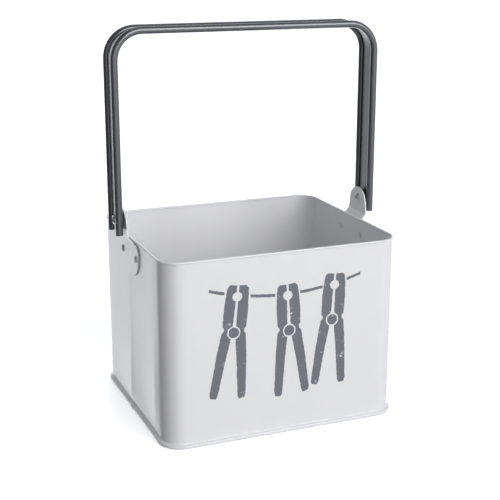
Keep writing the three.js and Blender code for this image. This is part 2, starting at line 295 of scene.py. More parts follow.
curl_middle = BEAD_RADIUS - SHEET / 2
bead_centre = box_place(-BEAD_INSET, RIM_HEIGHT - BEAD_RADIUS)
wall_middle = -SHEET / 2
meeting = math.degrees(math.acos((wall_middle + BEAD_INSET) / curl_middle))
curl = arc(bead_centre, (curl_middle, curl_middle), CURL_START, 360 - meeting, CURL_STEPS, "YZ")
lap_low = SEAM_HEIGHT + ROW_GAP
rows = [LAP_TOP + ROW_GAP, LAP_TOP - ROW_GAP]
for step in range(1, LAP_ROWS + 1):
    rows.append(LAP_TOP - ROW_GAP - (LAP_TOP - lap_low) * step / LAP_ROWS)
rows.append(WALL_FOOT)
section = curl + [box_place(wall_middle, height) for height in rows]
section.append(box_place(HOOK_OUT, WALL_FOOT))
section.append(box_place(HOOK_OUT, WALL_FOOT + HOOK_UP))

body = draw_line("dressed_body_wrap", section)
print("points in the section:", len(section))

# %% [markdown]
# The route goes clockwise seen from above. The left wall gets closely set columns where the lap
# lies, because its rear edge is a crisp step and its front edge is a short ramp.

# %% Sweep the section round the box
STRAIGHT_X = HALF_WIDTH - CORNER
STRAIGHT_Y = HALF_DEPTH - CORNER
UP = (0, 0, 1)
FRONT_STEPS = 12
SIDE_STEPS = 10
LAP_EDGE = 6 * MM
LAP_WIDTH = 7 * MM
LAP_RAMP = 5.4 * MM
LAP_RISE = 0.16 * MM
STEP_WIDTH = 0.08 * MM


def sweep_round_box(left_wall_runs):
    """Takes the selected section once round the box. The left wall's columns are given."""
    run((STRAIGHT_X, 0, 0), FRONT_STEPS // 2)
    turn((STRAIGHT_X, STRAIGHT_Y, 0), UP, -90, CORNER_STEPS)
    run((0, -2 * STRAIGHT_Y, 0), SIDE_STEPS)
    turn((STRAIGHT_X, -STRAIGHT_Y, 0), UP, -90, CORNER_STEPS)
    run((-2 * STRAIGHT_X, 0, 0), FRONT_STEPS)
    turn((-STRAIGHT_X, -STRAIGHT_Y, 0), UP, -90, CORNER_STEPS)
    for length, steps in left_wall_runs:
        run((0, length, 0), steps)
    turn((-STRAIGHT_X, STRAIGHT_Y, 0), UP, -90, CORNER_STEPS)
    run((STRAIGHT_X, 0, 0), FRONT_STEPS // 2)


sweep_round_box([
    (STRAIGHT_Y + LAP_EDGE - LAP_WIDTH, 30),
    (LAP_RAMP, 1),
    (LAP_WIDTH - LAP_RAMP, 5),
    (STEP_WIDTH, 1),
    (STRAIGHT_Y - LAP_EDGE - STEP_WIDTH, 20),
])
weld()
print("faces in the wall's middle surface:", len(body.data.polygons))

# %% [markdown]
# Thin sheet is never quite flat. Near the foot the seam pushes the lapped sheets outward, so the
# left wall bends there into a low ridge whose crest is the lap's edge. It is at its highest just
# above the foot and falls away on both sides. Just before the front corner the wall bulges again,
# because the bend has pulled at it: the swelling grows slowly from the middle of the wall, is
# strongest low down and drops away where the corner begins. Both show only in what the gloss
# mirrors. The middle surface is moved, so that the sheet keeps its thickness.

# %% Push the left wall out at the lap and before the corner
RIDGE = 1.2 * MM
RIDGE_HALF_WIDTH = 44 * MM
RIDGE_TOP = 80 * MM
RIDGE_FADE = 1.2
RIDGE_FULL_FROM = 12 * MM
BULGE = 0.7 * MM
BULGE_START = -14 * MM
BULGE_CREST = -54 * MM
BULGE_END = -66 * MM
BULGE_FULL_FROM = 20 * MM
BULGE_FULL_TO = 40 * MM
BULGE_LEAST_FROM = 90 * MM
BULGE_LEAST = 0.3


def progress(value, start, end):
    """How far a value has come from start to end, from nought to one."""
    return min(1, max(0, (value - start) / (end - start)))


def ridge_at(place):
    across = max(0, 1 - abs(place.y - LAP_EDGE) / RIDGE_HALF_WIDTH)
    rise = max(0, 1 - place.z / RIDGE_TOP)
    ridge = RIDGE * across**2 * rise**RIDGE_FADE * progress(place.z, 0, RIDGE_FULL_FROM)
    grown = progress(place.y, BULGE_START, BULGE_CREST) ** 2
    grown *= progress(place.y, BULGE_END, BULGE_CREST)
    above = progress(place.z, BULGE_FULL_TO, BULGE_LEAST_FROM)
    strength = progress(place.z, 0, BULGE_FULL_FROM) * (1 - (1 - BULGE_LEAST) * above)
    return ridge + BULGE * grown * strength


in_left_wall = 0
for vertex in body.data.vertices:
    if vertex.co.x < -HALF_WIDTH + SHEET and vertex.co.z > SEAM_HEIGHT:
        vertex.co.x -= ridge_at(vertex.co)
        in_left_wall += 1
print("vertices in the left wall:", in_left_wall)

# %% [markdown]
# Solidify turns the middle surface into sheet. The lap is then raised: every vertex of the outer
# face that lies in the lap moves out. It is pressed flatter than a whole sheet, so only a hairline
# shows. Doing this after Solidify leaves the inside of the wall flat, as it is on the real box,
# where the sheet's end lies on the outside.

# %% Thicken the wall and raise the lap
thicken(body, SHEET)


def in_lap(place):
    on_outer_face = place.x < -HALF_WIDTH + SHEET / 4 - ridge_at(place)
    across = LAP_EDGE - LAP_WIDTH + LAP_RAMP / 2 < place.y < LAP_EDGE + STEP_WIDTH / 2
    along = lap_low - MM < place.z < LAP_TOP
    return on_outer_face and across and along


lap_count = select_where(body, in_lap)
bpy.ops.transform.translate(value=(-LAP_RISE, 0, 0))
bpy.ops.object.mode_set(mode="OBJECT")
print("vertices raised in the lap:", lap_count)

finish_piece(body)
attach(body, "caddy")
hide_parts("body_wrap")

# %% [markdown]
# ## The foot
#
# The bottom is a shallow pan. Its edge goes down inside the wall, out under it, up again and back
# in over the wall's hook: a double seam, as on a tin can. From outside it is a rounded bead about
# three millimetres high. Paint has filled the groove between bead and wall, so the bead's top runs
# up to the wall in a small hollow curve. The same route as before carries its section, and one
# face closes the recessed panel.

# %% The pan's seam
PAN_SHEET = 0.5 * MM
LEG_IN = -0.87 * MM
LEG_OUT = 1.75 * MM
PANEL_HEIGHT = SEAM_HEIGHT - PAN_SHEET / 2
FOOT_HEIGHT = PAN_SHEET / 2
HOLLOW_OUT = 0.7 * MM
HOLLOW = 0.95 * MM
BEND = 0.3 * MM
FOOT_ROUND = 0.75 * MM


def rounded(corners, radii, steps=4):
    """A line through the corners, each rounded by its radius. Angles are right angles in YZ."""
    places = [Vector(corners[0])]
    for before, corner, after, radius in zip(corners, corners[1:], corners[2:], radii):
        to_before = (Vector(before) - Vector(corner)).normalized() * radius
        to_after = (Vector(after) - Vector(corner)).normalized() * radius
        centre = Vector(corner) + to_before + to_after
        for step in range(steps + 1):
            angle = math.radians(90 * step / steps)
            places.append(centre - to_after * math.cos(angle) - to_before * math.sin(angle))
    places.append(Vector(corners[-1]))
    return places


pan_corners = [
    box_place(LEG_IN, PANEL_HEIGHT),
    box_place(LEG_IN, FOOT_HEIGHT),
    box_place(LEG_OUT, FOOT_HEIGHT),
    box_place(LEG_OUT, PANEL_HEIGHT),
    box_place(HOLLOW_OUT, PANEL_HEIGHT),
]
pan_section = rounded(pan_corners, [BEND, FOOT_ROUND, FOOT_ROUND])
hollow_centre = box_place(HOLLOW_OUT, PANEL_HEIGHT + HOLLOW)
pan_section += arc(hollow_centre, (HOLLOW, HOLLOW), 270, 180, 6, "YZ")
pan = draw_line("dressed_base_pan", pan_section)
SWELL_STEPS = 20
sweep_round_box([
    (STRAIGHT_Y - 2 * LAP_WIDTH, 8),
    (4 * LAP_WIDTH, SWELL_STEPS),
    (STRAIGHT_Y - 2 * LAP_WIDTH, 8),
])
weld()
print("faces in the pan's middle surface:", len(pan.data.polygons))

# %% [markdown]
# Where the lap runs into the seam, two more layers of sheet are folded in, so the bead swells
# slightly there. The swelling falls away on both sides like a bell. The panel's edge is the
# innermost open edge: its vertices are picked by their place, and one face fills it.

# %% Swell the seam at the lap and close the panel
SWELL = 0.45 * MM
LAP_CENTRE = LAP_EDGE - LAP_WIDTH / 2
for vertex in pan.data.vertices:
    outward = -HALF_WIDTH - vertex.co.x
    if -SHEET < outward and vertex.co.z > PANEL_HEIGHT + SAME_PLACE:
        kept = 1 - progress(outward, HOLLOW_OUT - HOLLOW, HOLLOW_OUT)
        vertex.co.x -= ridge_at(vertex.co) * kept
    if outward > 0:
        along = (vertex.co.y - LAP_CENTRE) / (LAP_WIDTH / 2)
        vertex.co.x -= SWELL * math.exp(-along * along) * min(1, outward / LEG_OUT)


def on_panel_edge(place):
    level = abs(place.z - PANEL_HEIGHT) < SAME_PLACE
    inside_x = abs(place.x) < HALF_WIDTH + LEG_IN / 2
    inside_y = abs(place.y) < HALF_DEPTH + LEG_IN / 2
    return level and inside_x and inside_y


edge_count = select_where(pan, on_panel_edge)
bpy.ops.mesh.edge_face_add()
face_outward()
thicken(pan, PAN_SHEET)
print("vertices round the panel:", edge_count)
finish_piece(pan)
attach(pan, "caddy")
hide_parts("base_pan")

# %% [markdown]
# ## The ears
#
# An ear is stamped from one flat blank: an oval plate for the two rivets, a neck and a round
# tongue for the pivot. The neck is then bent out and up again so that it clears the rim. Here the
# blank is drawn flat, cut across in rows where the bends will be, and each row is moved outward by
# what the bent profile gives at its height. Solidify adds the sheet and a small bevel breaks the
# stamped edge.

# %% Sizes of an ear
ear_low, ear_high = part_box("ear_right")
EAR_SHEET = 1 * MM
EAR_INNER = ear_low.x
PLATE_HALF = 22.5 * MM
PLATE_WIDEST = 125.5 * MM
PLATE_BOTTOM = ear_low.z
SHOULDER_TOP = 134.3 * MM
NECK_HALF = 14 * MM
NECK_RELIEF = 0.8 * MM
JOG_START = 133 * MM
JOG_END = 139.5 * MM
JOG_OUT = 5 * MM
BEND_RADIUS = 1 * MM
TONGUE_RADIUS = 12.7 * MM
TONGUE_TOP = ear_high.z
BROKEN_EDGE = 0.22 * MM
print("ear from", round(PLATE_BOTTOM / MM, 1), "to", round(TONGUE_TOP / MM, 1), "mm")

# %% Draw the blank
plate_x = EAR_INNER + EAR_SHEET / 2
neck_edge = NECK_HALF + NECK_RELIEF
shoulder = (PLATE_HALF - neck_edge, SHOULDER_TOP - PLATE_WIDEST)
arch_centre = TONGUE_TOP - TONGUE_RADIUS
relief_round = NECK_RELIEF / 2


def half_blank(side):
    """The outline from the plate's widest point up to the arch, on one side."""
    corner = (plate_x, side * neck_edge, PLATE_WIDEST)
    places = arc(corner, (side * shoulder[0], shoulder[1]), 0, 90, 12, "YZ")
    relief = (plate_x, side * (NECK_HALF + relief_round), JOG_START)
    places += arc(relief, (side * relief_round, relief_round), 0, -180, 6, "YZ")
    places.append(Vector((plate_x, side * NECK_HALF, JOG_END)))
    return places


plate_radii = (PLATE_HALF, PLATE_WIDEST - PLATE_BOTTOM)
outline = arc((plate_x, 0, PLATE_WIDEST), plate_radii, 180, 360, 40, "YZ")
outline += half_blank(1)
outline += arc((plate_x, 0, arch_centre), (TONGUE_RADIUS, TONGUE_RADIUS), 0, 180, 32, "YZ")
outline += list(reversed(half_blank(-1)))

ear = draw_line("dressed_ear_right", outline)
bpy.ops.mesh.remove_doubles(threshold=SAME_PLACE)
select_mesh()
bpy.ops.mesh.edge_face_add()
bpy.ops.object.mode_set(mode="OBJECT")
print("outline points:", len(outline), "faces:", len(ear.data.polygons))

# %% Bend the neck
bends = 2 * BEND_RADIUS + EAR_SHEET
rise = JOG_END - JOG_START
across = JOG_OUT - bends
jog_angle = math.degrees(math.atan2(across, rise) + math.asin(bends / math.hypot(rise, across)))
bend_middle = BEND_RADIUS + EAR_SHEET / 2
first_centre = (bend_middle, 0, JOG_START)
second_centre = (JOG_OUT - bend_middle, 0, JOG_END)
bend_radii = (bend_middle, bend_middle)
profile = arc(first_centre, bend_radii, 180, 180 - jog_angle, 5, "XZ")
profile += arc(second_centre, bend_radii, -jog_angle, 0, 5, "XZ")

for place in profile:
    select_mesh()
    bpy.ops.mesh.bisect(plane_co=(0, 0, place.z), plane_no=UP)
neck_reach = neck_edge - SAME_PLACE
for place in profile:
    select_where(ear, lambda co: abs(co.z - place.z) < SAME_PLACE and abs(co.y) < neck_reach)
    bpy.ops.transform.translate(value=(place.x, 0, 0))
select_where(ear, lambda co: co.z > JOG_END + SAME_PLACE)
bpy.ops.transform.translate(value=(JOG_OUT, 0, 0))
bpy.ops.object.mode_set(mode="OBJECT")
print("slope of the jog in degrees:", round(jog_angle, 1))

# %% [markdown]
# The tongue and the neck were cut by rows that also cross the plate, which is harmless: those
# vertices lie on the outline. The blank's normal has to point outward before Solidify, so that
# the sheet grows evenly on both sides.

# %% Thicken and finish the ear, then turn a copy to the left side


def copy_piece(piece, name, half_turn=False, shift=(0, 0, 0)):
    """A copy with its own mesh, turned half round the Z axis if asked, its place in its mesh."""
    deselect_everything()
    piece.select_set(True)
    bpy.context.view_layer.objects.active = piece
    bpy.ops.object.duplicate(linked=False)
    other = bpy.context.object
    other.name = name
    other.data.name = name
    other.location = shift
    other.rotation_euler = (0, 0, math.pi if half_turn else 0)
    bpy.ops.object.transform_apply(location=True, rotation=True, scale=True)
    return other


weld()
thicken(ear, EAR_SHEET)
apply_modifier(ear, "BEVEL", "broken edge", width=BROKEN_EDGE, segments=3, limit_method="ANGLE",
               angle_limit=math.radians(50), harden_normals=False)
finish_piece(ear, 40)
apply_modifier(ear, "WEIGHTED_NORMAL", "flat faces", keep_sharp=True, weight=80)
ear_left = copy_piece(ear, "dressed_ear_left", half_turn=True)
for piece, node in ((ear, "ear_right"), (ear_left, "ear_left")):
    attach(piece, "caddy")
    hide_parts(node)
print("both ears made")

# %% [markdown]
# ## Turned pieces
#
# Rivets and spacers are round, so half of the section is drawn once and spun a full turn round
# its axis. A head is a low oval arc. The pivots are hollow rivets: their ends are rolled over, so
# the head is a ring with a dark recess in it.

# %% A helper for turned pieces
ROUND_STEPS = 48


def turned(name, half_section, reach, height, smooth=40):
    """Spins places given as (distance along X, radius) round an axis along X, at Y = reach."""
    places = [Vector((distance, reach, height + radius)) for distance, radius in half_section]
    piece = draw_line(name, places)
    turn((0, reach, height), (1, 0, 0), 360, ROUND_STEPS)
    weld()
    finish_piece(piece, smooth)
    return piece


def oval(distance, radius, along, across, start, end, steps):
    """Part of an oval in a half section: along is its size along X, across is its size outward."""
    places = arc((distance, 0, radius), (along, across), start, end, steps, "XZ")
    return [(place.x, place.z) for place in places]


print("steps in a full turn:", ROUND_STEPS)

# %% Ear rivets
rivet_low, rivet_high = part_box("ear_rivet_right_rear")
ear_outer = EAR_INNER + EAR_SHEET
wall_inner = HALF_WIDTH - SHEET
rivet_head = (rivet_high.z - rivet_low.z) / 2
rivet_height = (rivet_high.z + rivet_low.z) / 2
rivet_reach = (rivet_high.y + rivet_low.y) / 2
RIVET_SHANK = 1.5 * MM
RIVET_TAIL = 2.2 * MM
ROLLED = 0.3 * MM
head_height = rivet_high.x - ear_outer
half_section = [(rivet_low.x, 0), (rivet_low.x, RIVET_TAIL - ROLLED)]
half_section += oval(rivet_low.x + ROLLED, RIVET_TAIL - ROLLED, ROLLED, ROLLED, 180, 90, 4)
half_section += [(wall_inner, RIVET_TAIL), (wall_inner, RIVET_SHANK), (ear_outer, RIVET_SHANK)]
half_section += [(ear_outer, rivet_head)]
half_section += oval(ear_outer + ROLLED / 2, 0, head_height - ROLLED / 2, rivet_head, 90, 0, 14)
rivet = turned("dressed_rivet_right_rear", half_section, rivet_reach, rivet_height)
to_front = (0, -2 * rivet_reach, 0)
front_one = copy_piece(rivet, "dressed_rivet_right_front", shift=to_front)
ear_rivets = {
    "ear_rivet_right_rear": rivet,
    "ear_rivet_right_front": front_one,
    "ear_rivet_left_front": copy_piece(rivet, "dressed_rivet_left_front", half_turn=True),
    "ear_rivet_left_rear": copy_piece(front_one, "dressed_rivet_left_rear", half_turn=True),
}
for node, piece in ear_rivets.items():
    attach(piece, "caddy")
    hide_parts(node)
print("ear rivets:", len(ear_rivets))

# %% Pivot rivets
pivot_low, pivot_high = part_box("pivot_rivet_right")
spacer_low, spacer_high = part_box("pivot_spacer_right")
pivot_height = (pivot_low.z + pivot_high.z) / 2
PIVOT_SHANK = 2 * MM
HEAD_RING = 1.3 * MM
HEAD_BORE = 1.5 * MM
TAIL_RING = 0.8 * MM
TAIL_BORE = 1.2 * MM
BORE_DEPTH = 2.2 * MM
TAIL_BORE_DEPTH = 1.6 * MM
TAIL_RADIUS = 2.7 * MM
HEAD_RADIUS = 3.5 * MM
tail_seat = pivot_low.x + TAIL_RING
head_seat = pivot_high.x - HEAD_RING
tail_middle = (TAIL_RADIUS + TAIL_BORE) / 2
head_middle = (HEAD_RADIUS + HEAD_BORE) / 2
tail_bottom = pivot_low.x + TAIL_BORE_DEPTH
head_bottom = pivot_high.x - BORE_DEPTH
half_section = [(tail_bottom + TAIL_BORE / 2, 0), (tail_bottom, TAIL_BORE)]
half_section += oval(tail_seat, tail_middle, TAIL_RING, TAIL_RADIUS - tail_middle, 270, 90, 14)
half_section += [(tail_seat, PIVOT_SHANK), (head_seat, PIVOT_SHANK)]
half_section += oval(head_seat, head_middle, HEAD_RING, HEAD_RADIUS - head_middle, 90, -90, 14)
half_section += [(head_bottom, HEAD_BORE), (head_bottom - HEAD_BORE / 2, 0)]
pivot = turned("dressed_pivot_right", half_section, 0, pivot_height)
pivot_left = copy_piece(pivot, "dressed_pivot_left", half_turn=True)
for node, piece in (("pivot_rivet_right", pivot), ("pivot_rivet_left", pivot_left)):
    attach(piece, "caddy")
    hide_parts(node)
print("pivot height in mm:", round(pivot_height / MM, 1))

# %% Spacers
SPACER_ROUND = 0.5 * MM
SPACER_BORE = 2.1 * MM
spacer_radius = (spacer_high.z - spacer_low.z) / 2
rounded_radius = spacer_radius - SPACER_ROUND
half_section = [(spacer_low.x, SPACER_BORE)]
for distance, start in ((spacer_low.x + SPACER_ROUND, 180), (spacer_high.x - SPACER_ROUND, 90)):
    half_section += oval(distance, rounded_radius, SPACER_ROUND, SPACER_ROUND, start, start - 90, 6)
half_section += [(spacer_high.x, SPACER_BORE), (spacer_low.x, SPACER_BORE)]
spacer = turned("dressed_spacer_right", half_section, 0, pivot_height)
spacer_left = copy_piece(spacer, "dressed_spacer_left", half_turn=True)
for node, piece in (("pivot_spacer_right", spacer), ("pivot_spacer_left", spacer_left)):
    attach(piece, "caddy")
    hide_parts(node)
print("spacer radius in mm:", round(spacer_radius / MM, 2))

# %% [markdown]
# ## The handle
#
# The handle is a strap of sheet steel whose two long edges are rolled into tubes, which makes it
# stiff and soft to hold. Its section is a line again: round the front roll, across the web and
# round the rear roll. It goes up the left leg, over the top and down the right leg. A narrow mouth
# is left on the inner side, where a rolled edge comes back to the web.

# %% The strap's section
strap_low, strap_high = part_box("handle_strap")
ROLL_RADIUS = 2.65 * MM
STRAP_SHEET = 0.9 * MM
HANDLE_BEND = 20.4 * MM
ROLL_STEPS = 34
LEG_STEPS = 10
BEND_STEPS = 20
GRIP_STEPS = 12
MOUTH = 20
roll_middle = ROLL_RADIUS - STRAP_SHEET / 2
roll_reach = strap_high.y - ROLL_RADIUS
strap_plane = strap_high.x - ROLL_RADIUS
handle_top = strap_high.z - ROLL_RADIUS
leg_foot = strap_low.z
roll_radii = (-roll_middle, roll_middle)
front_centre = (-strap_plane, -roll_reach, leg_foot)
rear_centre = (-strap_plane, roll_reach, leg_foot)
front_roll = arc(front_centre, roll_radii, MOUTH - 270, 90, ROLL_STEPS, "XY")
rear_roll = arc(rear_centre, roll_radii, -90, 270 - MOUTH, ROLL_STEPS, "XY")
web = [Vector((-strap_plane, y, leg_foot)) for y in (-roll_reach / 3, roll_reach / 3)]
strap_section = front_roll + web + rear_roll
print("points in the strap's section:", len(strap_section))

# %% Sweep the strap
ACROSS = (0, 1, 0)
bend_height = handle_top - HANDLE_BEND
bend_x = strap_plane - HANDLE_BEND
handle = draw_line("dressed_handle", strap_section)
run((0, 0, bend_height - leg_foot), LEG_STEPS)
turn((-bend_x, 0, bend_height), ACROSS, 90, BEND_STEPS)
run((2 * bend_x, 0, 0), GRIP_STEPS)
turn((bend_x, 0, bend_height), ACROSS, 90, BEND_STEPS)
run((0, 0, leg_foot - bend_height), LEG_STEPS)
weld()
thicken(handle, STRAP_SHEET)
finish_piece(handle, 40)
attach(handle, "handle")
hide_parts("handle_strap")

# %% [markdown]
# ## A printed motif
#
# The front carries a stencilled print in worn charcoal ink. Here it is a generic one: three plain
# spring pegs that bite a sagging line. Each shape is an outline that is filled with one face and
# given the thickness of an ink layer. It floats a hundredth of a millimetre off the paint, so that
# the two never lie in the same plane. The outlines wander a little, as on an old stencil. The
# noise gets a seed first, because Blender starts it anew in each run.

# %% Sizes of the print
INK_GAP = 0.01 * MM
INK_THICKNESS = 0.03 * MM
INK_FACE = -HALF_DEPTH - INK_GAP
LINE_HALF_WIDTH = 1.1 * MM
LINE_REACH = 58 * MM
LINE_ENDS = 114 * MM
LINE_SAG = 9 * MM
LINE_BELOW_TIP = 0.085
LINE_GAP = 1.2 * MM
LINE_STEPS = 8
RAGGED = 0.35 * MM
RAGGED_STEP = 1.2 * MM
RAGGED_SEED = 3
RAGGED_PERIOD = 1.7 * MM
PEG_LENGTH = 84 * MM
PEG_PLACES = [(-37, -6), (1, 3), (37.5, -3)]
COIL_DROP = 0.41
COIL_RADIUS = 0.047
COIL_GAP = 0.012
JAW = [(0.01, 0), (0.07, 0.003), (0.092, -0.02), (0.1, -0.08), (0.108, -0.2), (0.105, -0.36)]
WIRE_NOTCH = [(0.09, -0.375), (0.09, -0.4), (0.108, -0.415)]
GRIP = [(0.135, -0.62), (0.162, -0.95), (0.155, -0.985)]
GRIP += [(0.105, -0.995), (0.09, -0.97), (0.05, -0.65)]
BITE = [(0.01, -0.14), (0.034, -0.125), (0.045, -0.1), (0.034, -0.072), (0.01, -0.058)]


def line_height(x):
    return LINE_ENDS - LINE_SAG * (1 - (x / LINE_REACH) ** 2)


def ragged(places):
    """Cuts long edges into short ones and lets the points wander, always in the same way."""
    outline = []
    for (x, z), (next_x, next_z) in zip(places, places[1:] + places[:1]):
        length = math.hypot(next_x - x, next_z - z)
        parts = max(1, round(length / RAGGED_STEP))
        for part in range(parts):
            along = part / parts
            here = Vector((x + (next_x - x) * along, z + (next_z - z) * along, 0))
            wander = mathutils_noise.noise_vector(here / RAGGED_PERIOD) * RAGGED
            outline.append((here.x + wander.x, here.y + wander.y))
    return outline


def ink_shape(places):
    """Fills an outline in the XZ plane with one face of ink, in the object being edited."""
    places = ragged(places)
    select_mesh(False)
    bpy.ops.mesh.primitive_plane_add(size=MM / 100, location=(places[0][0], INK_FACE, places[0][1]))
    bpy.ops.mesh.merge(type="CENTER")
    draw_through([Vector((x, INK_FACE, z)) for x, z in places])
    bpy.ops.mesh.select_linked()
    bpy.ops.mesh.edge_face_add()


def round_coil(radius, start, end, steps):
    """Places round the spring's coil, in shares of the peg's length."""
    centre = (0, 0, -COIL_DROP)
    return [(place.x, place.z) for place in arc(centre, (radius, radius), start, end, steps, "XZ")]


def hung(shares, middle, tilt):
    """Places of a peg's outline, for the peg that bites the line at that place."""
    lean = math.radians(tilt)
    places = []
    for across_share, up_share in shares:
        across = across_share * PEG_LENGTH
        up = (up_share + LINE_BELOW_TIP) * PEG_LENGTH
        x = middle + across * math.cos(lean) - up * math.sin(lean)
        z = line_height(middle) + across * math.sin(lean) + up * math.cos(lean)
        places.append((x, z))
    return places


def line_piece(start, end):
    """A stretch of the line between two pegs."""
    columns = [start + (end - start) * step / LINE_STEPS for step in range(LINE_STEPS + 1)]
    top = [(x, line_height(x) + LINE_HALF_WIDTH) for x in columns]
    bottom = [(x, line_height(x) - LINE_HALF_WIDTH) for x in reversed(columns)]
    return top + bottom


print("length of a printed peg in mm:", PEG_LENGTH / MM)

# %% Draw the print
peg_half = JAW + WIRE_NOTCH + GRIP + round_coil(COIL_RADIUS + COIL_GAP, -70, 75, 8) + BITE
other_half = [(-across, up) for across, up in reversed(peg_half)]
coil = round_coil(COIL_RADIUS, 0, 345, 23)
mathutils_noise.seed_set(RAGGED_SEED)
ink = start_point("front_print", (0, INK_FACE, 0))
bpy.ops.mesh.delete(type="VERT")
edges_of_pegs = [-LINE_REACH]
for middle, tilt in PEG_PLACES:
    for outline in (peg_half, other_half, coil):
        ink_shape(hung(outline, middle * MM, tilt))
    half_peg = JAW[3][0] * PEG_LENGTH + LINE_GAP
    edges_of_pegs += [middle * MM - half_peg, middle * MM + half_peg]
edges_of_pegs.append(LINE_REACH)
for start, end in zip(edges_of_pegs[::2], edges_of_pegs[1::2]):
    ink_shape(line_piece(start, end))
face_outward()
print("shapes in the print:", len(ink.data.polygons))

# %% Give the ink its thickness
select_mesh()
extrude((0, -INK_THICKNESS, 0))
weld()
finish_piece(ink)
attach(ink, "caddy")

# %% [markdown]
# ## Finishes
#
# Four finishes cover the object: pale powder coat, dark enamel, bare rivet steel and grey plastic,
# and the ink is a fifth. All of them share effects that are built once as node groups: a fine skin
# of little lumps, broad clouds of tone, and wear on sharp edges. A group gives out only values, and
# each material feeds them to its own shader. Everything is measured in Object coordinates, so one
# metre in the noise is one metre on the caddy.

# %% Helpers for node groups
FLOAT = "NodeSocketFloat"


def new_group(name, inputs, outputs):
    """A shader node group of numbers. Inputs are labels with values, outputs are labels."""
    group = bpy.data.node_groups.new(name, "ShaderNodeTree")
    for label, value in inputs.items():
        socket = group.interface.new_socket(name=label, in_out="INPUT", socket_type=FLOAT)
        socket.default_value = value
    for label in outputs:
        group.interface.new_socket(name=label, in_out="OUTPUT", socket_type=FLOAT)
    return group, group.nodes.new("NodeGroupInput"), group.nodes.new("NodeGroupOutput")


def add_node(tree, kind, **settings):
    node = tree.nodes.new("ShaderNode" + kind)
    for key, value in settings.items():
        setattr(node, key, value)
    return node


def feed(tree, value, target, socket):
    """Joins a pair of node and output to a socket, or gives the socket a plain number."""
    if isinstance(value, tuple):
        tree.links.new(value[0].outputs[value[1]], target.inputs[socket])
    else:
        target.inputs[socket].default_value = value


def object_place(tree):
    """The place on the piece, in metres. It stays with the piece when its body moves."""
    return add_node(tree, "TexCoord"), "Object"


def noise(tree, place, period, detail=2.0, roughness=0.5):
    """Noise with lumps of about that size in metres. It gives values round one half."""
    node = add_node(tree, "TexNoise")
    values = {"Vector": place, "Scale": 1 / period, "Detail": detail, "Roughness": roughness}
    for label, value in values.items():
        feed(tree, value, node, label)
    return node, "Fac"


def calculate(tree, operation, first, second, clamp=False):
    """A Math node. Each value is a number or a pair of node and output."""
    node = add_node(tree, "Math", operation=operation, use_clamp=clamp)
    feed(tree, first, node, 0)
    feed(tree, second, node, 1)
    return node, "Value"


def spread(tree, source, low, high, to_low=0.0, to_high=1.0):
    """Maps a value from one range to another. The ends may be pairs of node and output."""
    node = add_node(tree, "MapRange", clamp=True)
    labels = ("Value", "From Min", "From Max", "To Min", "To Max")
    for label, value in zip(labels, (source, low, high, to_low, to_high)):
        feed(tree, value, node, label)
    return node, "Result"


print("helpers for node groups are ready")

# %% [markdown]
# Powder is blown on dry and melts in an oven. It flows into a skin with very low lumps, about a
# millimetre across, known as orange peel. The enamel has the same skin but finer. The group gives
# a height for a Bump node, and a slow cloud that shifts tone and gloss a little.

# %% Group: the skin of a baked coat
LUMP_PERIOD = 1.5 * MM
GRIT_PERIOD = 0.35 * MM
BROAD_CLOUD = 45 * MM
MIDDLE_CLOUD = 9 * MM
coat_skin, entry, result = new_group("coat_skin", {"Fine Share": 0.35}, ["Height", "Cloud"])
place = object_place(coat_skin)
lumps = noise(coat_skin, place, LUMP_PERIOD, detail=1.5)
grit = noise(coat_skin, place, GRIT_PERIOD, detail=1)
weighted = calculate(coat_skin, "MULTIPLY", grit, (entry, "Fine Share"))
feed(coat_skin, calculate(coat_skin, "ADD", lumps, weighted), result, "Height")
broad = noise(coat_skin, place, BROAD_CLOUD, detail=3)
middle = noise(coat_skin, place, MIDDLE_CLOUD, detail=3, roughness=0.6)
both = calculate(coat_skin, "ADD", broad, middle)
feed(coat_skin, spread(coat_skin, both, 0.5, 1.5), result, "Cloud")
print(coat_skin.name, "built")

# %% [markdown]
# Handling rubs the coat thin on edges. Pointiness is high where the mesh bends outward. Noise
# breaks the mask up, so that the wear comes in short stretches and flecks.

# %% Group: wear on sharp edges
PATCH_PERIOD = 4 * MM
PATCH_SHIFT = 0.05
WEAR_FADE = 0.06
edge_wear, entry, result = new_group("edge_wear", {"Threshold": 0.53, "Amount": 1.0}, ["Mask"])
pointiness = (add_node(edge_wear, "NewGeometry"), "Pointiness")
patches = noise(edge_wear, object_place(edge_wear), PATCH_PERIOD, detail=4, roughness=0.65)
shifted = spread(edge_wear, patches, 0.3, 0.7, -PATCH_SHIFT, PATCH_SHIFT)
edge = calculate(edge_wear, "ADD", pointiness, shifted)
full = calculate(edge_wear, "ADD", (entry, "Threshold"), WEAR_FADE)
worn = spread(edge_wear, edge, (entry, "Threshold"), full)
mask = calculate(edge_wear, "MULTIPLY", worn, (entry, "Amount"), clamp=True)
feed(edge_wear, mask, result, "Mask")
print(edge_wear.name, "built")

# %% [markdown]
# Fine dust settles on whatever faces up, such as the top of the foot seam and the bottom inside.
# Small grey specks from use are scattered everywhere but sparsely.

